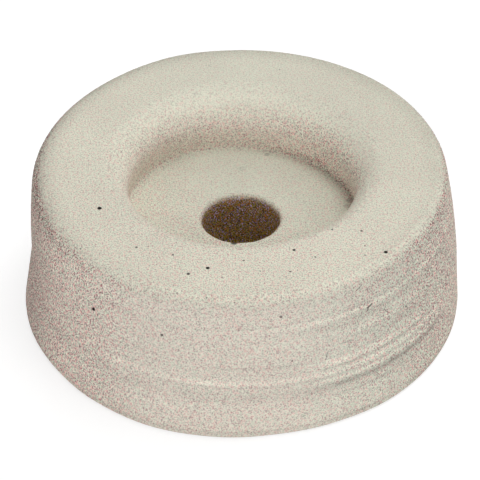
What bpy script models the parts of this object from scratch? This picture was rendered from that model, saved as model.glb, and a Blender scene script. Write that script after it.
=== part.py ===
"""Round screw-on rubber bumper, moulded in one piece.

The origin is the centre of the underside and +Z points up through the screw hole.
The outline is drawn once, as a closed loop in the XZ plane, and spun about Z.
"""

import math

import bmesh
import bpy
from mathutils import Matrix, Vector

MM = 0.001

# Body
BASE_DIAMETER = 25.4 * MM  # across the foot, where the bumper is widest
HEIGHT = 9.6 * MM
BASE_EDGE_RADIUS = 0.4 * MM
CROWN_DIAMETER = 24.0 * MM  # where the side wall would meet the crown with no rounding
CROWN_EDGE_RADIUS = 0.65 * MM

# Parting line: the mould halves meet here, and the wall drafts away from it
PARTING_HEIGHT = 4.1 * MM
PARTING_DIAMETER = 25.0 * MM
RIDGE_PROUD = 0.05 * MM  # flash left standing along the parting line
RIDGE_WIDTH = 0.45 * MM
RIDGE_RADIUS = 0.12 * MM
GROOVE_DEPTH = 0.06 * MM  # shrink groove just under the ridge
GROOVE_WIDTH = 0.8 * MM
GROOVE_RADIUS = 0.3 * MM
BAND_BULGE = 0.05 * MM  # how far the band under the groove swells past a straight line

# Recess that takes the screw head
MOUTH_DIAMETER = 12.8 * MM  # where the recess wall would meet the crown with no lip
LIP_RADIUS = 1.8 * MM  # the crown rolls over softly into the recess
FLOOR_DIAMETER = 13.3 * MM  # the wall leans out a little on its way down
RECESS_DEPTH = 3.64 * MM
RECESS_CORNER_RADIUS = 0.25 * MM

# Screw hole
HOLE_DIAMETER = 4.6 * MM
HOLE_EDGE_RADIUS = 0.15 * MM

# Facets
TURN_STEPS = 96
ARC_STEPS = 4  # at least this many on each rounded corner
ARC_FACET = 0.35 * MM  # and more where the facets would be longer than this
BAND_STEPS = 4
SMOOTH_ANGLE = math.radians(30)

RUBBER_COLOUR = (0.62, 0.58, 0.48, 1.0)
RUBBER_ROUGHNESS = 0.9
RUBBER_SPECULAR = 0.25


def clear_scene():
    for obj in list(bpy.data.objects):
        bpy.data.objects.remove(obj, do_unlink=True)


def fillet(before, corner, after, radius):
    """The points of an arc that rounds the corner between two straight runs."""
    into = (before - corner).normalized()
    out = (after - corner).normalized()
    half_angle = into.angle(out) / 2
    middle = corner + (into + out).normalized() * (radius / math.sin(half_angle))
    start = corner + into * (radius / math.tan(half_angle)) - middle
    end = corner + out * (radius / math.tan(half_angle)) - middle
    sweep = start.angle_signed(end)
    steps = max(ARC_STEPS, math.ceil(abs(sweep) * radius / ARC_FACET))
    return [middle + Matrix.Rotation(-sweep * i / steps, 2) @ start for i in range(steps + 1)]


def rounded(corners):
    """Joins (radius out from the axis, height, corner radius) triples into one line of points."""
    places = [Vector((r, z)) for r, z, _ in corners]
    points = [places[0]]
    for i in range(1, len(corners) - 1):
        radius = corners[i][2]
        if radius:
            points += fillet(places[i - 1], places[i], places[i + 1], radius)
        else:
            points.append(places[i])
    points.append(places[-1])
    return points


def bulged(start, end, bulge, steps):
    """Points strictly between two ends, on a shallow bow that stands bulge proud at its middle."""
    outward = Vector((end.y - start.y, start.x - end.x)).normalized()
    shares = [i / steps for i in range(1, steps)]
    return [start.lerp(end, s) + outward * (bulge * 4 * s * (1 - s)) for s in shares]


def wall_radius(z):
    """The outer wall's radius at a height, with its draft each way from the parting line."""
    parting = PARTING_DIAMETER / 2
    if z > PARTING_HEIGHT:
        share = (z - PARTING_HEIGHT) / (HEIGHT - PARTING_HEIGHT)
        return parting + (CROWN_DIAMETER / 2 - parting) * share
    share = (PARTING_HEIGHT - z) / PARTING_HEIGHT
    return parting + (BASE_DIAMETER / 2 - parting) * share


def closed_outline():
    """The half section, anticlockwise: foot, band, groove, ridge, wall, crown, lip, recess, hole."""
    base, hole = BASE_DIAMETER / 2, HOLE_DIAMETER / 2
    recess_floor = HEIGHT - RECESS_DEPTH
    groove_top = PARTING_HEIGHT - RIDGE_WIDTH / 2
    groove_middle = groove_top - GROOVE_WIDTH / 2
    groove_foot = groove_top - GROOVE_WIDTH
    ridge_top = PARTING_HEIGHT + RIDGE_WIDTH / 2
    foot = rounded(
        [
            (hole + HOLE_EDGE_RADIUS, 0, 0),
            (base, 0, BASE_EDGE_RADIUS),
            (wall_radius(groove_foot), groove_foot, 0),
        ]
    )
    band = bulged(foot[-2], foot[-1], BAND_BULGE, BAND_STEPS)
    above = rounded(
        [
            (wall_radius(groove_foot), groove_foot, 0),
            (wall_radius(groove_middle) - GROOVE_DEPTH, groove_middle, GROOVE_RADIUS),
            (wall_radius(groove_top), groove_top, 0),
            (wall_radius(PARTING_HEIGHT) + RIDGE_PROUD, PARTING_HEIGHT, RIDGE_RADIUS),
            (wall_radius(ridge_top), ridge_top, 0),
            (CROWN_DIAMETER / 2, HEIGHT, CROWN_EDGE_RADIUS),
            (MOUTH_DIAMETER / 2, HEIGHT, LIP_RADIUS),
            (FLOOR_DIAMETER / 2, recess_floor, RECESS_CORNER_RADIUS),
            (hole, recess_floor, HOLE_EDGE_RADIUS),
            (hole, 0, HOLE_EDGE_RADIUS),
            (hole + HOLE_EDGE_RADIUS, 0, 0),
        ]
    )
    return foot[:-1] + band + above[:-2]  # the hole's last corner ends where the foot starts


def spun_mesh(name, outline):
    """A closed outline in the XZ plane, given anticlockwise, turned once round Z."""
    bm = bmesh.new()
    corners = [bm.verts.new((p.x, 0, p.y)) for p in outline]
    edges = [bm.edges.new((a, b)) for a, b in zip(corners, corners[1:] + corners[:1])]
    bmesh.ops.spin(
        bm,
        geom=corners + edges,
        axis=(0, 0, 1),
        cent=(0, 0, 0),
        angle=2 * math.pi,
        steps=TURN_STEPS,
        use_merge=True,
    )
    bmesh.ops.recalc_face_normals(bm, faces=bm.faces)
    mesh = bpy.data.meshes.new(name)
    bm.to_mesh(mesh)
    bm.free()
    mesh.shade_smooth()
    mesh.set_sharp_from_angle(angle=SMOOTH_ANGLE)
    return mesh


def rubber():
    material = bpy.data.materials.new("cream_rubber")
    material.use_nodes = True
    shader = material.node_tree.nodes["Principled BSDF"]
    shader.inputs["Base Color"].default_value = RUBBER_COLOUR
    shader.inputs["Roughness"].default_value = RUBBER_ROUGHNESS
    shader.inputs["Specular IOR Level"].default_value = RUBBER_SPECULAR
    shader.inputs["Metallic"].default_value = 0.0
    return material


def main():
    clear_scene()
    mesh = spun_mesh("bumper", closed_outline())
    mesh.materials.append(rubber())
    bumper = bpy.data.objects.new("bumper", mesh)
    bpy.context.scene.collection.objects.link(bumper)


main()
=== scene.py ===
import math

import bpy
import numpy as np
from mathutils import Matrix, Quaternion, Vector
from mathutils.bvhtree import BVHTree


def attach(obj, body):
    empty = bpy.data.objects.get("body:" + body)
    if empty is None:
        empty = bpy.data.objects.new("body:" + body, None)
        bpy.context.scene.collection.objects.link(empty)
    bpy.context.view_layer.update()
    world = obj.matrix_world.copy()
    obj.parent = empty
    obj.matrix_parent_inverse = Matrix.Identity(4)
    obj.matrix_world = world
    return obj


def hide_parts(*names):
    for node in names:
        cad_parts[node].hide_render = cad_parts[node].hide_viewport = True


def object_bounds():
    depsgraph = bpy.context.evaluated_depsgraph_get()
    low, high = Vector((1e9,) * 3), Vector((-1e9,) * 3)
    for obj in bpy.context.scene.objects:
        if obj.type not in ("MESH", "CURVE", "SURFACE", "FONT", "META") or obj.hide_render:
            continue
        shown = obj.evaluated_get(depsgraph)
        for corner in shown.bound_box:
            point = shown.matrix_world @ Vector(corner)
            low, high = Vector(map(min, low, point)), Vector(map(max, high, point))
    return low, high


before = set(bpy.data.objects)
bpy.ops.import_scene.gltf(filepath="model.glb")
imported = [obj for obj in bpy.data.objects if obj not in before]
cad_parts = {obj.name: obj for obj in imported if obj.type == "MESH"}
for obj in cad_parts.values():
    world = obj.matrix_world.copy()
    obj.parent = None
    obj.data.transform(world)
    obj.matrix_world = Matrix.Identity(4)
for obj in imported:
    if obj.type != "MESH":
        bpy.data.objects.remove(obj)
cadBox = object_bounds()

mm = 0.001
dice = np.random.RandomState(11)
baseRadius = (cadBox[1][0] - cadBox[0][0]) / 2 / mm
height = cadBox[1][2] / mm
print("frame loaded: base", round(baseRadius * 2, 2), "mm across,", round(height, 2), "mm high")


# small helpers

def hexColour(code):
    # sRGB hex to the linear RGBA that nodes and lamps take
    channels = [int(code[i:i + 2], 16) / 255 for i in (1, 3, 5)]
    linear = [c / 12.92 if c <= 0.04045 else ((c + 0.055) / 1.055) ** 2.4 for c in channels]
    return (*linear, 1.0)


def smooth(value, low, high):
    # 0 below low, 1 above high, soft in between
    share = np.clip((value - low) / (high - low), 0, 1)
    return share * share * (3 - 2 * share)


def roundTheTurn(knots, azimuth):
    # a value that changes softly round the turn, given at a few azimuths in degrees
    angles = sorted(knots)
    values = [knots[a] for a in angles]
    angles = [angles[-1] - 360] + angles + [angles[0] + 360]
    values = [values[-1]] + values + [values[0]]
    places = np.degrees(azimuth) % 360
    result = np.empty_like(places)
    for a, b, valueA, valueB in zip(angles, angles[1:], values, values[1:]):
        inside = (places >= a) & (places < b)
        result[inside] = valueA + (valueB - valueA) * smooth(places[inside], a, b)
    return result


def wander(azimuth, waves, size):
    # a seeded slow wave round the turn, about size high
    total = np.zeros_like(azimuth)
    for k in range(1, waves + 1):
        total += dice.normal() * np.cos(k * azimuth + dice.uniform(0, 2 * math.pi)) / math.sqrt(waves)
    return total * size


def addNode(tree, kind, settings=None, links=None):
    # one node: a setting is a property or an input's value, a link comes from a node or (node, output)
    node = tree.nodes.new(kind)
    settings = dict(settings or {})
    for name in [name for name in settings if isinstance(name, str) and hasattr(node, name)]:
        setattr(node, name, settings.pop(name))
    shown = {}
    for socket in node.inputs:
        if socket.enabled:
            shown.setdefault(socket.name, socket)
    for name, value in settings.items():
        (node.inputs[name] if isinstance(name, int) else shown[name]).default_value = value
    for name, source in (links or {}).items():
        if isinstance(source, tuple):
            output = source[0].outputs[source[1]]
        else:
            output = next(socket for socket in source.outputs if socket.enabled)
        tree.links.new(output, node.inputs[name] if isinstance(name, int) else shown[name])
    count = len(tree.nodes)
    node.location = (220 * (count % 9) - 2200, 300 - 260 * (count // 9))
    return node


# camera: where the photograph was taken from

cameraSetup = {
    "distance": 300.0,         # mm from the middle of the foot
    "elevation": 39.57,        # degrees
    "scale": 17.04,            # pixels to a mm at that distance
    "footPixel": (241.1, 297.64),
    "roll": 0.66,              # degrees, the right side a touch higher
    "frame": 480,              # pixels across the photograph
    "filmWidth": 36,           # mm
    "nearest": 0.01,           # m, where the view starts
}


def cameraAxes():
    rise = math.radians(cameraSetup["elevation"])
    back = Vector((0, -math.cos(rise), math.sin(rise)))
    return back, Vector((1, 0, 0)), Vector((0, math.sin(rise), math.cos(rise)))


def fromFoot(pixel):
    # how far right of the foot's middle, and above it, a pixel is in mm, with the roll taken out
    right = (pixel[0] - cameraSetup["footPixel"][0]) / cameraSetup["scale"]
    above = (cameraSetup["footPixel"][1] - pixel[1]) / cameraSetup["scale"]
    roll = math.radians(cameraSetup["roll"])
    return right * math.cos(roll) + above * math.sin(roll), above * math.cos(roll) - right * math.sin(roll)


def pixelRay(pixel):
    # the camera's place and the direction that a pixel of the photograph looks in, in mm
    back, right, up = cameraAxes()
    across, above = fromFoot(pixel)
    start = back * cameraSetup["distance"]
    return start, (right * across + up * above - start).normalized()


def onSkin(surface, pixel):
    # the point of the moulding, in metres, that shows at the pixel
    start, way = pixelRay(pixel)
    return surface.ray_cast(start * mm, way)[0]


def setCamera():
    setup = cameraSetup
    back, right, up = cameraAxes()
    data = bpy.data.cameras.new("photoCamera")
    data.sensor_width = setup["filmWidth"]
    data.lens = setup["filmWidth"] * setup["scale"] * setup["distance"] / setup["frame"]
    data.clip_start = setup["nearest"]
    camera = bpy.data.objects.new("photoCamera", data)
    bpy.context.scene.collection.objects.link(camera)
    camera.location = back * setup["distance"] * mm
    across, above = fromFoot((setup["frame"] / 2, setup["frame"] / 2))
    aim = (right * across + up * above) * mm
    turn = (aim - camera.location).to_track_quat("-Z", "Y")
    camera.rotation_mode = "QUATERNION"
    camera.rotation_quaternion = turn @ Quaternion((0, 0, 1), -math.radians(setup["roll"]))
    bpy.context.scene.camera = camera
    print("camera", round(data.lens), "mm lens at", setup["distance"], "mm")


# the moulding: one closed skin of sections round the axis, with the marks of the mould and of use in it, and
# the painted light and shade that it carries

bumperMould = {
    "turns": 470,              # sections round the axis, 0.17 mm apart at the foot
    "footEdge": 0.35,          # all lengths in mm
    "partingHeight": 4.1,
    "holeEdge": 0.32,
    "recessDepth": 3.64,
    "wallSwell": 0.085,        # how far the upper wall bows out of a straight line
    "swellFrom": (11, 11.5),   # out from the axis, where the bow starts and is full
    "closeRows": (1.4, 0.7),   # how far below and above the parting line the rows lie closer
    "leastRun": 0.03,          # a rounding starts at least this far from its corner, or its rows would touch
    "mostRounding": 50,        # and no rounding that it makes is larger than this
    # out of round, by azimuth in degrees from +X, anticlockwise from above: 270 faces the camera
    "footRadius": {0: 12.69, 90: 12.68, 150: 12.62, 190: 12.66, 212: 12.59, 228: 12.68, 246: 12.8,
                   264: 12.73, 280: 12.6, 296: 12.64, 311: 12.75, 335: 12.71},
    "partingRadius": {0: 12.57, 60: 12.5, 120: 12.3, 180: 12.1, 240: 12.32, 300: 12.46},
    "crownRadius": {0: 11.88, 30: 11.82, 60: 11.76, 90: 11.79, 112: 11.98, 135: 11.94, 180: 11.89,
                    225: 12.0, 270: 12.0},
    "holeRadius": {0: 2.3, 45: 2.21, 90: 2.15, 180: 2.22, 235: 2.11, 270: 2.05, 305: 2.12, 330: 2.2},
    "crownEdge": {0: 0.65, 45: 0.55, 90: 0.7, 135: 1.0, 180: 0.95, 225: 0.85, 270: 0.8, 315: 0.75},
    "mouthRadius": {20: 6.35, 90: 6.15, 150: 6.2, 200: 6.3, 240: 6.25, 290: 6.3, 320: 6.55, 345: 6.55},
    "lipRadius": {20: 1.9, 90: 2.1, 150: 1.7, 180: 1.4, 240: 1.2, 300: 1.2, 345: 1.6},
    "wallFoot": {0: 6.8, 18: 6.66, 35: 6.53, 65: 6.45, 85: 6.5, 105: 6.67, 130: 6.76, 150: 6.78, 180: 6.68,
                 200: 6.6, 270: 6.5, 340: 6.65},
    "undercut": {0: 0.34, 20: 0.42, 45: 0.35, 68: 0.15, 90: 0.03, 325: 0.03, 345: 0.2},
    "floorCorner": {20: 0.12, 60: 0.14, 110: 0.22, 160: 0.34, 200: 0.36, 290: 0.3, 340: 0.16},
    "undercutHeight": 0.45,
    "undercutRound": {20: 0.2, 45: 0.22, 80: 0.6, 120: 1.0, 300: 1.0, 345: 0.5},
    # how strongly the bloom grains each part of the skin, and how much paler than its colour it is
    "wallGrain": {0: 2.1, 90: 1.2, 188: 2.7, 205: 2.0, 222: 1.4, 248: 0.7, 288: 0.65, 315: 0.95,
                  332: 1.65, 350: 2.1},
    "crownGrain": {0: 0.5, 90: 0.35, 180: 0.6, 225: 0.7, 270: 0.75, 315: 0.65},
    # painted light in the recess, with painted shade at the back
    "recessPaintedLightShade": {0: 0.07, 30: 0.06, 60: 0.02, 90: -0.035, 118: 0.0, 140: 0.03, 165: 0.07, 185: 0.03,
                   225: 0.03, 270: 0.08, 330: 0.1},
    # painted light and shade on the outside wall, darkest at the left edge where less light falls
    "wallPaintedLightShade": {0: -0.02, 60: 0.0, 130: 0.0, 180: -0.16, 196: -0.12, 213: 0.065, 250: -0.055,
                 288: -0.05, 310: -0.042, 335: -0.05, 355: -0.01},
    # painted light and shade on the crown: paler at the front, darker at the back, where the light falls
    # unevenly
    "crownPaintedLightShade": {0: -0.03, 22: -0.06, 45: -0.075, 75: -0.06, 105: -0.065, 135: -0.03, 165: 0.0, 195: -0.02,
                  225: 0.0, 270: 0.045, 300: 0.05, 345: 0.0},
    # painted shade on the crown's edge, dimming the light along it
    "crownEdgePaintedShade": {0: -0.06, 20: -0.08, 60: -0.12, 90: -0.13, 150: -0.13, 195: -0.12, 212: -0.08,
                      232: -0.045, 250: -0.03, 300: -0.03, 322: -0.06},
    "recessGrain": {0: 1.4, 30: 1.3, 75: 0.85, 160: 0.8, 330: 1.2},
    "recessGrainReach": {0: 0.97, 45: 0.95, 80: 0.8, 180: 0.8, 330: 0.9},
    # where each part of the skin starts and is full, in mm out from the axis or up from the foot
    "wallOut": (10.6, 11.6),
    "crownUp": (9.2, 9.5),
    "recessUp": (5.5, 5.8),
    "recessOut": (6.6, 7.6),
    "edgeOut": (10.3, 11.4),
    "edgeUp": (8.3, 8.9),
    "footBand": (2.6, 4.2),
    # painted light on the lower outside wall
    "footPaintedLight": 0.035,
    # the shoulder, where the crown tips over into the wall, and how far up it has to face for its painted
    # shade, which dims the light on it
    "shoulderOut": (11, 11.4),
    "shoulderStart": (0.15, 0.45),
    "shoulderEnd": (0.85, 1),
    "shoulderPaintedShade": 0.05,
    "steepFrom": 0.2,          # how little a place faces up where the recess has its wall's whole grain
    "recessGrainLift": 0.15,
    # painted shade in the undercut: how far out past the wall's foot it lies, how wide, and up to where
    "undercutShadePlace": 0.08,
    "undercutShadeWidth": 0.2,
    "undercutShadeTop": (6.4, 6.9),
    "undercutShadeGrain": 2.5,
    "undercutShadeDepth": 0.2,
    # steps left in the wall by the mould's joint and tools: level, how wide, how much prouder it is
    # above the step than below, and the azimuths between which it shows
    "wallSteps": [
        (3.90, 0.30, -0.026, 228, 340), (3.62, 0.14, 0.022, 240, 300), (4.55, 0.36, -0.040, 290, 335),
        (4.20, 0.14, 0.052, 293, 330), (3.80, 0.20, -0.024, 292, 335), (3.55, 0.12, 0.020, 292, 325),
        (3.32, 0.18, -0.042, 292, 336), (2.90, 0.42, 0.062, 292, 336), (2.84, 0.16, 0.022, 296, 330),
        (2.90, 0.60, 0.024, 205, 296), (7.85, 0.16, 0.020, 297, 332), (7.58, 0.14, -0.034, 290, 348),
        (7.60, 0.18, -0.018, 262, 295), (7.18, 0.18, 0.028, 285, 350), (6.85, 0.18, 0.022, 290, 326),
        (6.25, 0.18, -0.028, 300, 326), (5.95, 0.16, 0.020, 300, 326), (5.40, 0.50, 0.018, 305, 328),
        (4.98, 0.16, 0.022, 262, 312), (2.20, 0.16, 0.034, 296, 322), (8.60, 0.30, -0.010, 200, 250),
        # the step at 0.44 mm, all round, is mostly painted shade along the foot's edge
        (1.90, 0.16, -0.010, 235, 256), (6.00, 0.14, 0.012, 205, 230), (0.44, 0.16, 0.040, -20, 380),
    ],
    "stepFade": 7,             # degrees over which a step fades out at its ends
    "stepWander": (30, 0.25),  # waves round the turn, and their size
    "stepSettle": 1.2,         # mm over which the wall is back in line above and below a step
    "lineWander": (4, 0.02),   # how a step's level wanders, in mm
    "wallWander": [(5, 0.012), (24, 0.004)],
    "reliefShading": 4.0,                # how much paler a step that faces up is painted, as painted light, and darker one facing down, as painted shade, to a mm
    "reliefShadingWidth": 0.7,           # of the step's width, over which that shows
    # marks are full from here to here on the outside wall
    "marksOut": (11.3, 11.8),
    "marksFoot": (0.15, 0.5),
    "marksTop": (8.7, 9.3),
    # fine tool lines: level and width between two values, azimuth about one, reach in radians
    "striations": 70,
    "striationLevel": (0.9, 8.3),
    "striationWidth": (0.05, 0.14),
    "striationAzimuth": (308, 35),
    "striationReach": (0.08, 0.5),
    "striationClimb": 0.05,
    "striationDepth": 0.004,
    "pebble": 0.004,
    "pebbleUp": (0.2, 0.6),
    "pebbleGap": 0.06,         # rows that lie closer than this get less of it, or they would fold over
}


def sectionRows(corners, leastRun, mostRounding):
    # corners: (out from the axis, height, rounding, rows round it, rows on the run after it), as a loop
    points = np.array([corner[:2] for corner in corners], float)
    arcs = []
    for i, (_, _, rounding, rows, _) in enumerate(corners):
        if not rounding:
            arcs.append(points[i:i + 1])
            continue
        into = points[i - 1] - points[i]
        onward = points[(i + 1) % len(points)] - points[i]
        into, onward = into / np.hypot(*into), onward / np.hypot(*onward)
        half = math.acos(into @ onward) / 2
        rounding = max(rounding, min(leastRun * math.tan(half), mostRounding))
        inward = (into + onward) / np.hypot(*(into + onward))
        centre = points[i] + inward * rounding / math.sin(half)
        start = points[i] + into * rounding / math.tan(half) - centre
        end = points[i] + onward * rounding / math.tan(half) - centre
        sweep = math.pi - 2 * half
        share = np.linspace(0, 1, rows)[:, None]
        swung = np.sin((1 - share) * sweep) * start + np.sin(share * sweep) * end
        arcs.append(centre + swung / math.sin(sweep))
    line = []
    for i, arc in enumerate(arcs):
        run = np.linspace(0, 1, corners[i][4] + 2)[1:-1, None]
        following = arcs[(i + 1) % len(arcs)][0]
        line += [arc, arc[-1] + (following - arc[-1]) * run]
    return np.vstack(line)


def bumperSections(mould, azimuth):
    # distance out and height of every row of every section, and the way the surface faces there
    names = ("footRadius", "partingRadius", "crownRadius", "crownEdge", "mouthRadius", "lipRadius",
             "wallFoot", "undercut", "undercutRound", "floorCorner", "holeRadius")
    foot, joint, crown, crownEdge, mouth, lip, wallFoot, undercut, undercutRound, floorCorner, hole = (
        roundTheTurn(mould[name], azimuth) for name in names)
    edge, footEdge = mould["holeEdge"], mould["footEdge"]
    recessFloor, parting = height - mould["recessDepth"], mould["partingHeight"]
    below, above = mould["closeRows"]
    sections = []
    for i in range(len(azimuth)):
        lowerDraft = (foot[i] - joint[i]) / parting
        upperDraft = (joint[i] - crown[i]) / (height - parting)
        sections.append(sectionRows([
            (hole[i], 0, edge, 3, 8),
            (foot[i], 0, footEdge, 6, 17),
            (joint[i] + lowerDraft * below, parting - below, 0, 1, 24),
            (joint[i], parting, 0, 1, 12),
            (joint[i] - upperDraft * above, parting + above, 0, 1, 39),
            (crown[i], height, crownEdge[i], 12, 11),
            (mouth[i], height, lip[i], 22, 7),
            (wallFoot[i], recessFloor + mould["undercutHeight"], undercutRound[i], 4, 3),
            (wallFoot[i] + undercut[i], recessFloor, floorCorner[i], 5, 13),
            (hole[i], recessFloor, edge, 5, 8),
        ], mould["leastRun"], mould["mostRounding"]))
    out, up = np.moveaxis(np.array(sections), 2, 0)
    rise = np.clip((up - parting) / (height - parting), 0, 1)
    out += mould["wallSwell"] * np.sin(math.pi * rise) * smooth(out, *mould["swellFrom"])
    stepOut = np.roll(out, -1, 1) - np.roll(out, 1, 1)
    stepUp = np.roll(up, -1, 1) - np.roll(up, 1, 1)
    size = np.hypot(stepOut, stepUp)
    return out, up, stepUp / size, -stepOut / size


def between(turn, start, end, fade):
    # 1 between two azimuths in degrees, fading to 0 outside them
    place = np.degrees(turn) % 360
    return smooth(place, start - fade, start + fade) * (1 - smooth(place, end - fade, end + fade))


def wallMarks(mould, turn, out, up):
    # how far the outside wall stands proud of a plain one, in mm, and how much paler or darker it is painted
    # along its steps and lines, as painted light and shade
    wall = (smooth(out, *mould["marksOut"]) * smooth(up, *mould["marksFoot"])
            * (1 - smooth(up, *mould["marksTop"])))
    slow, quick = (wander(turn, *waves) for waves in mould["wallWander"])
    proud = slow + quick + 0 * up
    paintedLightShade = 0 * up
    for level, width, rise, start, end in mould["wallSteps"]:
        line = level + wander(turn, *mould["lineWander"])
        strength = (rise * between(turn, start, end, mould["stepFade"])
                    * (1 + wander(turn, *mould["stepWander"])))
        step = smooth(up, line - width / 2, line + width / 2)
        settle = (np.exp(-np.clip(up - line, 0, None) / mould["stepSettle"])
                  * np.exp(-np.clip(line - up, 0, None) / mould["stepSettle"]))
        proud += strength * (step - 0.5) * settle
        # painted light on a step that faces up, painted shade on one that faces down
        paintedLightShade -= strength * mould["reliefShading"] * np.exp(-((up - line) / width / mould["reliefShadingWidth"]) ** 2)
    for _ in range(mould["striations"]):   # fine tool lines round the wall, each fading in and out
        level, width = dice.uniform(*mould["striationLevel"]), dice.uniform(*mould["striationWidth"])
        middle = math.radians(dice.normal(*mould["striationAzimuth"]))
        reach = dice.uniform(*mould["striationReach"])
        depth = dice.normal() * mould["striationDepth"]
        climb = dice.normal() * mould["striationClimb"]
        swing = np.angle(np.exp(1j * (turn - middle)))
        fade = np.exp(-(swing / reach) ** 4)
        ridge = depth * fade * np.exp(-((up - level - climb * swing) / width) ** 2)
        proud += ridge
        # painted light on a raised tool line, painted shade in a sunk one
        paintedLightShade += ridge * mould["reliefShading"] * 2
    return proud * wall, paintedLightShade * wall


def buildBumper():
    mould = bumperMould
    azimuth = np.arange(mould["turns"]) * 2 * math.pi / mould["turns"]
    turn = azimuth[:, None]
    out, up, facingOut, facingUp = bumperSections(mould, azimuth)
    proud, paintedLightShade = wallMarks(mould, turn, out, up)
    aboveFloor = smooth(up, *mould["recessUp"])
    recess = aboveFloor * (1 - smooth(out, *mould["recessOut"]))
    crown = smooth(up, *mould["crownUp"]) * (1 - recess)
    wall = smooth(out, *mould["wallOut"]) * (1 - crown)
    tones = {name: roundTheTurn(mould[name], azimuth)[:, None] for name in
             ("wallGrain", "crownGrain", "recessPaintedLightShade", "wallPaintedLightShade", "crownPaintedLightShade", "crownEdgePaintedShade", "wallFoot",
              "undercut", "recessGrain", "recessGrainReach")}
    paintedLightShade += recess * tones["recessPaintedLightShade"] + wall * tones["wallPaintedLightShade"] + crown * tones["crownPaintedLightShade"]
    # painted light low on the outside wall
    paintedLightShade += mould["footPaintedLight"] * wall * (1 - smooth(up, *mould["footBand"]))
    # painted shade on the crown's edge and the shoulder under it, dimming the light that falls there
    paintedLightShade += tones["crownEdgePaintedShade"] * smooth(out, *mould["edgeOut"]) * smooth(up, *mould["edgeUp"])
    paintedLightShade -= (mould["shoulderPaintedShade"] * smooth(out, *mould["shoulderOut"])
             * smooth(facingUp, *mould["shoulderStart"]) * (1 - smooth(facingUp, *mould["shoulderEnd"])))
    steep = 1 - smooth(facingUp, mould["steepFrom"], tones["recessGrainReach"])
    grain = wall * tones["wallGrain"] + (1 - wall) * (
        tones["crownGrain"] * (1 + mould["recessGrainLift"] * recess) * (1 - steep)
        + tones["recessGrain"] * steep)
    # painted shade in the undercut at the wall's foot, with more grain
    place = (out - tones["wallFoot"] - mould["undercutShadePlace"]) / mould["undercutShadeWidth"]
    undercutShade = tones["undercut"] * np.exp(-place ** 2) * (1 - smooth(up, *mould["undercutShadeTop"]))
    grain += mould["undercutShadeGrain"] * undercutShade * aboveFloor
    paintedLightShade -= mould["undercutShadeDepth"] * undercutShade * aboveFloor
    rowGap = np.hypot(out - np.roll(out, 1, 1), up - np.roll(up, 1, 1))
    rowGap = np.minimum(np.minimum(rowGap, np.roll(rowGap, -1, 1)), out * 2 * math.pi / mould["turns"])
    proud += (smooth(up, *mould["pebbleUp"]) * dice.normal(size=out.shape) * mould["pebble"]
              * np.clip(rowGap / mould["pebbleGap"], 0, 1))
    out, up = out + facingOut * proud, up + facingUp * proud
    points = np.stack([out * np.cos(turn), out * np.sin(turn), up], -1).reshape(-1, 3) * mm
    turns, rows = out.shape
    i, j = np.meshgrid(np.arange(turns), np.arange(rows), indexing="ij")
    nextTurn, nextRow = (i + 1) % turns, (j + 1) % rows
    corners = [i * rows + j, nextTurn * rows + j, nextTurn * rows + nextRow, i * rows + nextRow]
    mesh = bpy.data.meshes.new("bumperSkin")
    mesh.from_pydata(points.tolist(), [], np.stack(corners, -1).reshape(-1, 4).tolist())
    mesh.shade_smooth()
    # the painted light and shade go to the shader in this attribute
    mesh.attributes.new("paintedShading", "FLOAT", "POINT").data.foreach_set("value", paintedLightShade.ravel())
    mesh.attributes.new("graining", "FLOAT", "POINT").data.foreach_set("value", grain.ravel())
    piece = bpy.data.objects.new("bumper_skin", mesh)
    bpy.context.scene.collection.objects.link(piece)
    print("bumper skin:", len(mesh.vertices), "points,", len(mesh.polygons) * 2, "triangles")
    return piece


# cream natural rubber, compression moulded: matt and powdery with bloom, pebbled finely by the mould,
# with a few open pores that show as dark dots

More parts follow.
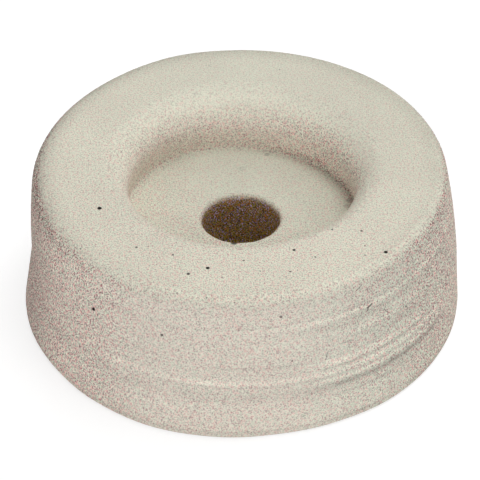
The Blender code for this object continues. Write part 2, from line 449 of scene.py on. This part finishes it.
rubberLook = {
    "roughness": 0.92,
    "specular": 0.2,
    "ior": 1.52,
    "metallic": 0.0,
    # painted light: places that face up take a greener colour, as if lit from above
    "upFacingLitColour": "#e1e1cf",
    "upFacingLit": (0.2, 0.9),       # how far up a place faces where that painted light colour starts and is full
    "wallColour": "#e3ded0",
    # painted light: the right-hand side takes its own colour, as if lit from the right
    "rightSideLitColour": "#dadece",
    "rightSideLit": (2, 10),            # mm to the right of the axis, where its colour starts and is full
    # painted shade on the recess floor
    "recessShadeColour": "#dcdecc",
    "recessOut": (7.6, 6.4),         # mm out from the axis, in the same way
    # slow clouds in the bloom: how far apart in mm, over what part of their noise, and how strong
    "cloudSpacing": 3.5,
    "cloudRange": (0.35, 0.65),
    "cloudShare": 0.05,
    # the real bloom is too fine to show, so its grain is drawn coarser, at 1.5 to 2 pixels
    "grain": 0.085,                  # mm
    "grainRange": (0.2, 0.8),
    "grainTone": 0.26,               # how far the grain swings from pale to dark
    "grainHeight": 0.06,             # mm
    "tintGrain": 0.125,              # mm across one rosy or sallow speck
    "tintSeed": 3.0,
    "tints": {"#dcb3aa": 0.7, "#c8ceba": 0.3},  # rosy and sallow, each with where its noise is full
    "tintShare": 0.85,
    "speckColour": "#8f5f66",
    "speckRange": (0.5, 0.3),
    "speckShare": 0.75,
    "pebble": 0.3,                   # mm across one pebble of the mould's finish
    "pebbleHeight": 0.02,
    # the hole's wall, painted dark brown as painted shade and paler deep down as painted light: where it
    # starts and is full, in mm out and up, and where it is deep
    "holeShadeColour": "#8c7e2e",
    "holeDeepLitColour": "#b5a53e",
    "holeOut": (2.55, 2.3),
    "holeUp": (5.97, 5.55),
    "holeDeep": (4.6, 2.4),
    "holeGrain": 0.085,              # mm across one speck
    "holeSeed": 7.0,
    "holeTone": 5.5,                 # how many times as far its grain swings from pale to dark
    "holeSpecks": {"#b8a0ce": (0.555, 0.655), "#b3684c": (0.43, 0.33)},  # from where to where in the noise
    # stray pores: how far apart in mm, where they start and are full as shares of that, and how dark
    "poreColour": "#120c07",
    "poreSpacing": 1.5,
    "strayPore": (0.045, 0.02),
    "strayPoreDepth": 0.6,
    "poreEdge": (1.25, 0.9),         # times a pore's radius, where it starts and is full
    "scratchEdge": (1.0, 0.4),
    # pixels of the photograph with a pore, a smudge or the nib on the hole's edge: radius in mm, how dark
    "pores": {(99.5, 208.2): (0.12, 1.0), (207.7, 268): (0.105, 1.0), (188.3, 273.8): (0.09, 0.9),
              (385.8, 252.1): (0.105, 1.0), (294.1, 250): (0.08, 1.0), (172.9, 254.8): (0.06, 0.9),
              (136.4, 247.3): (0.07, 0.8), (315.4, 257): (0.06, 0.7), (290.2, 271.6): (0.065, 0.8),
              (243.8, 260.5): (0.065, 0.7), (332.1, 229.4): (0.06, 0.9), (361.4, 230.9): (0.06, 0.9),
              (364.7, 245.7): (0.05, 0.7), (365, 255.1): (0.05, 0.7), (286.1, 276.9): (0.05, 0.6),
              (80.6, 248.8): (0.05, 0.7), (222.1, 277.2): (0.05, 0.6), (177, 293): (0.05, 0.6),
              (206.6, 297.8): (0.05, 0.6), (148.4, 246.4): (0.05, 0.5), (93.6, 309.2): (0.11, 1.0),
              (161.9, 335): (0.08, 0.8), (280.9, 316.8): (0.08, 0.7), (238.9, 330.3): (0.05, 0.6),
              # the spot at (267, 154.5) is a lump together with its painted shadow
              (292.1, 361): (0.06, 0.6), (242, 168.5): (0.2, 0.1), (267, 154.5): (0.14, 0.3),
              # the spots at (350, 200.5) and (347.2, 206) are painted shade at the end of the undercut
              (234, 243): (0.17, 0.9), (350, 200.5): (0.22, 0.25), (347.2, 206): (0.2, 0.15)},
    # scratches: from one pixel to another, how far to each side of that line in mm, and how dark
    "scratches": [((355.7, 291.4), (361.7, 284.6), 0.05, 0.5), ((367.7, 307.8), (371.8, 303.8), 0.07, 0.8),
                  ((367.2, 311), (368.5, 307), 0.06, 0.7), ((327.3, 352), (325.8, 359.5), 0.05, 0.5),
                  ((384, 309), (389, 313), 0.05, 0.5), ((402, 303), (408, 308), 0.05, 0.4),
                  ((424, 268), (428, 272), 0.05, 0.3), ((340, 344), (352, 340), 0.04, 0.4),
                  ((378, 318), (404, 304), 0.04, 0.35), ((396, 330), (420, 314), 0.04, 0.35)],
}


def mouldedRubber(skin):
    look = rubberLook
    mesh = skin.data
    surface = BVHTree.FromPolygons([v.co for v in mesh.vertices], [p.vertices for p in mesh.polygons])
    pores = [(onSkin(surface, pixel), size, depth) for pixel, (size, depth) in look["pores"].items()]
    scratches = [(onSkin(surface, a), onSkin(surface, b), size, depth)
                 for a, b, size, depth in look["scratches"]]
    material = bpy.data.materials.new("mouldedCreamRubber")
    material.use_nodes = True
    tree = material.node_tree
    shader = tree.nodes["Principled BSDF"]
    shader.inputs["Roughness"].default_value = look["roughness"]
    shader.inputs["Specular IOR Level"].default_value = look["specular"]
    shader.inputs["IOR"].default_value = look["ior"]
    shader.inputs["Metallic"].default_value = look["metallic"]
    coords = addNode(tree, "ShaderNodeTexCoord")
    place = (coords, "Object")
    facing = addNode(tree, "ShaderNodeSeparateXYZ", links={"Vector": (coords, "Normal")})
    flat = addNode(tree, "ShaderNodeMapRange", {"From Min": look["upFacingLit"][0],
                                                "From Max": look["upFacingLit"][1]},
                   {"Value": (facing, "Z")})
    flatPlace = addNode(tree, "ShaderNodeVectorMath", {"operation": "MULTIPLY", 1: (1, 1, 0)}, {0: place})
    out = addNode(tree, "ShaderNodeVectorMath", {"operation": "LENGTH"}, {0: flatPlace})
    level = addNode(tree, "ShaderNodeSeparateXYZ", links={"Vector": place})
    # painted light on the right-hand side, in its colour
    rightward = addNode(tree, "ShaderNodeMapRange", {"From Min": look["rightSideLit"][0] * mm,
                                                     "From Max": look["rightSideLit"][1] * mm},
                        {"Value": (level, "X")})
    wall = addNode(tree, "ShaderNodeMix", {"data_type": "RGBA", "A": hexColour(look["wallColour"]),
                                           "B": hexColour(look["rightSideLitColour"])}, {"Factor": rightward})
    # painted light: up-facing places take their own colour
    body = addNode(tree, "ShaderNodeMix", {"data_type": "RGBA", "B": hexColour(look["upFacingLitColour"])},
                   {"Factor": flat, "A": wall})
    # painted shade on the recess floor
    inRecess = addNode(tree, "ShaderNodeMapRange", {"From Min": look["recessOut"][0] * mm,
                                                    "From Max": look["recessOut"][1] * mm},
                       {"Value": (out, "Value")})
    inRecess = addNode(tree, "ShaderNodeMath", {"operation": "MULTIPLY"}, {0: inRecess, 1: flat})
    body = addNode(tree, "ShaderNodeMix", {"data_type": "RGBA", "B": hexColour(look["recessShadeColour"])},
                   {"Factor": inRecess, "A": body})
    clouds = addNode(tree, "ShaderNodeTexNoise", {"Scale": 1 / (look["cloudSpacing"] * mm), "Detail": 2.0},
                     {"Vector": place})
    cloudShare = addNode(tree, "ShaderNodeMapRange", {"From Min": look["cloudRange"][0],
                                                      "From Max": look["cloudRange"][1],
                                                      "To Max": look["cloudShare"]},
                         {"Value": (clouds, "Fac")})
    clouded = addNode(tree, "ShaderNodeMix", {"data_type": "RGBA", "B": hexColour(look["speckColour"])},
                      {"Factor": cloudShare, "A": body})
    # grain of the bloom: rosy and sallow, then specks, then paler and darker with the painted light and
    # shade
    graining = addNode(tree, "ShaderNodeAttribute", {"attribute_name": "graining"})
    tintGrain = addNode(tree, "ShaderNodeTexNoise", {"noise_dimensions": "4D", "W": look["tintSeed"],
                                                     "Detail": 0.0,
                                                     "Scale": 1 / (look["tintGrain"] * mm)},
                        {"Vector": place})
    tinted = clouded
    for tint, full in look["tints"].items():
        tintShare = addNode(tree, "ShaderNodeMapRange", {"From Min": 0.5, "From Max": full,
                                                         "To Max": look["tintShare"]},
                            {"Value": (tintGrain, "Fac")})
        tintShare = addNode(tree, "ShaderNodeMath", {"operation": "MULTIPLY", "use_clamp": True},
                            {0: tintShare, 1: (graining, "Fac")})
        tinted = addNode(tree, "ShaderNodeMix", {"data_type": "RGBA", "B": hexColour(tint)},
                         {"Factor": tintShare, "A": tinted})
    grain = addNode(tree, "ShaderNodeTexNoise", {"Scale": 1 / (look["grain"] * mm), "Detail": 1.0,
                                                 "Roughness": 0.6}, {"Vector": place})
    speck = addNode(tree, "ShaderNodeMapRange", {"From Min": look["speckRange"][0],
                                                 "From Max": look["speckRange"][1],
                                                 "To Max": look["speckShare"]}, {"Value": (grain, "Fac")})
    speckShare = addNode(tree, "ShaderNodeMath", {"operation": "MULTIPLY", "use_clamp": True},
                         {0: speck, 1: (graining, "Fac")})
    specked = addNode(tree, "ShaderNodeMix", {"data_type": "RGBA", "B": hexColour(look["speckColour"])},
                      {"Factor": speckShare, "A": tinted})
    swing = addNode(tree, "ShaderNodeMapRange", {"From Min": look["grainRange"][0],
                                                 "From Max": look["grainRange"][1],
                                                 "To Min": -look["grainTone"],
                                                 "To Max": look["grainTone"]}, {"Value": (grain, "Fac")})
    paintedShading = addNode(tree, "ShaderNodeAttribute", {"attribute_name": "paintedShading"})
    tone = addNode(tree, "ShaderNodeMath", {"operation": "MULTIPLY"}, {0: swing, 1: (graining, "Fac")})
    tone = addNode(tree, "ShaderNodeMath", {"operation": "ADD"}, {0: tone, 1: (paintedShading, "Fac")})
    tone = addNode(tree, "ShaderNodeMath", {"operation": "ADD", 1: 1.0}, {0: tone})
    toned = addNode(tree, "ShaderNodeHueSaturation", links={"Value": tone, "Color": specked})
    # pores: random small ones, and the ones that the photograph shows
    cells = addNode(tree, "ShaderNodeTexVoronoi", {"Scale": 1 / (look["poreSpacing"] * mm)},
                    {"Vector": place})
    pore = addNode(tree, "ShaderNodeMapRange", {"From Min": look["strayPore"][0],
                                                "From Max": look["strayPore"][1],
                                                "To Max": look["strayPoreDepth"]},
                   {"Value": (cells, "Distance")})
    poreStart, poreFull = look["poreEdge"]
    for spot, size, depth in pores:
        away = addNode(tree, "ShaderNodeVectorMath", {"operation": "DISTANCE", 1: spot}, {0: place})
        mark = addNode(tree, "ShaderNodeMapRange", {"From Min": poreStart * size * mm,
                                                    "From Max": poreFull * size * mm,
                                                    "To Max": depth}, {"Value": (away, "Value")})
        pore = addNode(tree, "ShaderNodeMath", {"operation": "MAXIMUM"}, {0: pore, 1: mark})
    scratchStart, scratchFull = look["scratchEdge"]
    for start, end, size, depth in scratches:
        run = end - start
        along = addNode(tree, "ShaderNodeVectorMath", {"operation": "SUBTRACT", 1: start}, {0: place})
        share = addNode(tree, "ShaderNodeVectorMath", {"operation": "DOT_PRODUCT",
                                                       1: run / run.length_squared}, {0: along})
        share = addNode(tree, "ShaderNodeMath", {"operation": "MULTIPLY", "use_clamp": True, 1: 1.0},
                        {0: (share, "Value")})
        nearest = addNode(tree, "ShaderNodeVectorMath", {"operation": "SCALE", 0: run}, {"Scale": share})
        away = addNode(tree, "ShaderNodeVectorMath", {"operation": "DISTANCE"}, {0: along, 1: nearest})
        mark = addNode(tree, "ShaderNodeMapRange", {"From Min": scratchStart * size * mm,
                                                    "From Max": scratchFull * size * mm,
                                                    "To Max": depth}, {"Value": (away, "Value")})
        pore = addNode(tree, "ShaderNodeMath", {"operation": "MAXIMUM"}, {0: pore, 1: mark})
    pored = addNode(tree, "ShaderNodeMix", {"data_type": "RGBA", "B": hexColour(look["poreColour"])},
                    {"Factor": pore, "A": toned})
    # the hole's wall gets painted shade in dark brown, paler the deeper it goes as painted light, where less
    # light comes, and it is speckled
    inHole = addNode(tree, "ShaderNodeMapRange", {"From Min": look["holeOut"][0] * mm,
                                                  "From Max": look["holeOut"][1] * mm},
                     {"Value": (out, "Value")})
    sunk = addNode(tree, "ShaderNodeMapRange", {"From Min": look["holeUp"][0] * mm,
                                                "From Max": look["holeUp"][1] * mm}, {"Value": (level, "Z")})
    holeShade = addNode(tree, "ShaderNodeMath", {"operation": "MULTIPLY"}, {0: inHole, 1: sunk})
    deep = addNode(tree, "ShaderNodeMapRange", {"From Min": look["holeDeep"][0] * mm,
                                                "From Max": look["holeDeep"][1] * mm},
                   {"Value": (level, "Z")})
    holeShadeTint = addNode(tree, "ShaderNodeMix", {"data_type": "RGBA", "A": hexColour(look["holeShadeColour"]),
                                            "B": hexColour(look["holeDeepLitColour"])}, {"Factor": deep})
    holeGrain = addNode(tree, "ShaderNodeTexNoise", {"noise_dimensions": "4D", "W": look["holeSeed"],
                                                     "Detail": 0.0,
                                                     "Scale": 1 / (look["holeGrain"] * mm)},
                        {"Vector": place})
    for colour, (start, full) in look["holeSpecks"].items():
        specks = addNode(tree, "ShaderNodeMapRange", {"From Min": start, "From Max": full},
                         {"Value": (holeGrain, "Fac")})
        holeShadeTint = addNode(tree, "ShaderNodeMix", {"data_type": "RGBA", "B": hexColour(colour)},
                        {"Factor": specks, "A": holeShadeTint})
    holeTone = addNode(tree, "ShaderNodeMath", {"operation": "MULTIPLY_ADD", 1: look["holeTone"], 2: 1.0},
                       {0: swing})
    holeShadeTint = addNode(tree, "ShaderNodeHueSaturation", links={"Value": holeTone, "Color": holeShadeTint})
    holeShaded = addNode(tree, "ShaderNodeMix", {"data_type": "RGBA"},
                      {"Factor": holeShade, "A": pored, "B": holeShadeTint})
    finish = next(socket for socket in holeShaded.outputs if socket.enabled)
    tree.links.new(finish, shader.inputs["Base Color"])
    # relief: the mould's pebbles with the bloom's grain on them
    pebbles = addNode(tree, "ShaderNodeTexNoise", {"Scale": 1 / (look["pebble"] * mm), "Detail": 1.0},
                      {"Vector": place})
    relief = addNode(tree, "ShaderNodeBump", {"Strength": 1.0, "Distance": look["pebbleHeight"] * mm},
                     {"Height": (pebbles, "Fac")})
    relief = addNode(tree, "ShaderNodeBump", {"Strength": 1.0, "Distance": look["grainHeight"] * mm},
                     {"Height": (grain, "Fac"), "Normal": relief})
    tree.links.new(relief.outputs["Normal"], shader.inputs["Normal"])
    print("rubber:", len(tree.nodes), "nodes")
    return material


# floor and lamps: white card and a ring of broad soft lamps

studio = {
    "floorSide": 1200,         # mm
    "floorColour": "#e6e6e6",
    "shadowTone": 0.72,        # how bright the card shows to the camera where no light reaches it
    "litTone": 0.36,           # how much brighter it shows where the lamps do
    # azimuth from behind the camera towards +X, elevation, strength and spread of each lamp
    "lamps": [(90, 80, 0.43, 35), (-45, 25, 0.28, 35), (135, 25, 0.22, 35), (45, 25, 0.175, 35),
              (135, 50, 0.13, 35), (-20, 8, 0.125, 20), (0, 25, 0.085, 35), (20, 8, 0.07, 20),
              (180, 50, 0.065, 35), (180, 25, 0.065, 35), (45, 8, 0.04, 20), (0, 50, 0.025, 35)],
}


def backgroundRays(tree):
    # 1 for what is looked at, straight or in a reflection, and 0 for the light on the object
    ray = addNode(tree, "ShaderNodeLightPath")
    seen = addNode(tree, "ShaderNodeMath", {"operation": "MAXIMUM"},
                   {0: (ray, "Is Camera Ray"), 1: (ray, "Is Glossy Ray")})
    return addNode(tree, "ShaderNodeMath", {"operation": "MAXIMUM"},
                   {0: seen, 1: (ray, "Is Transmission Ray")})


def setStudio():
    side = studio["floorSide"] / 2 * mm
    mesh = bpy.data.meshes.new("whiteCard")
    corners = [(-side, -side, 0), (side, -side, 0), (side, side, 0), (-side, side, 0)]
    mesh.from_pydata(corners, [], [(0, 1, 2, 3)])
    card = bpy.data.objects.new("whiteCard", mesh)
    bpy.context.scene.collection.objects.link(card)
    material = bpy.data.materials.new("mattWhiteCard")
    material.use_nodes = True
    tree = material.node_tree
    tree.nodes.clear()
    plain = addNode(tree, "ShaderNodeBsdfDiffuse", {"Color": hexColour(studio["floorColour"])})
    litTone = studio["litTone"]
    dim = addNode(tree, "ShaderNodeBsdfDiffuse", {"Color": (litTone, litTone, litTone, 1)})
    lift = addNode(tree, "ShaderNodeEmission", {"Color": (1, 1, 1, 1), "Strength": studio["shadowTone"]})
    lifted = addNode(tree, "ShaderNodeAddShader", links={0: dim, 1: lift})
    seen = addNode(tree, "ShaderNodeMixShader", links={0: backgroundRays(tree), 1: plain, 2: lifted})
    addNode(tree, "ShaderNodeOutputMaterial", links={"Surface": seen})
    mesh.materials.append(material)
    world = bpy.data.worlds.new("paleSurround")
    world.use_nodes = True
    tree = world.node_tree
    tree.nodes.clear()
    unlit = addNode(tree, "ShaderNodeBackground", {"Color": (1, 1, 1, 1), "Strength": 0.0})
    white = addNode(tree, "ShaderNodeBackground", {"Color": (1, 1, 1, 1), "Strength": 1.0})
    seen = addNode(tree, "ShaderNodeMixShader", links={0: backgroundRays(tree), 1: unlit, 2: white})
    addNode(tree, "ShaderNodeOutputWorld", links={"Surface": seen})
    bpy.context.scene.world = world
    for number, (azimuth, elevation, strength, spread) in enumerate(studio["lamps"]):
        data = bpy.data.lights.new(f"softLamp{number}", "SUN")
        data.energy = strength * math.pi
        data.angle = math.radians(spread)
        lamp = bpy.data.objects.new(f"softLamp{number}", data)
        around, rise = math.radians(azimuth), math.radians(elevation)
        level = math.cos(rise)
        towards = Vector((level * math.sin(around), -level * math.cos(around), math.sin(rise)))
        lamp.rotation_mode = "QUATERNION"
        lamp.rotation_quaternion = (-towards).to_track_quat("-Z", "Y")
        bpy.context.scene.collection.objects.link(lamp)
    print("studio:", len(studio["lamps"]), "lamps")


setCamera()
setStudio()
bumper = buildBumper()
bumper.data.materials.append(mouldedRubber(bumper))
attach(bumper, "root")
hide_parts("bumper")

scene = bpy.context.scene
scene.view_settings.view_transform = "Standard"
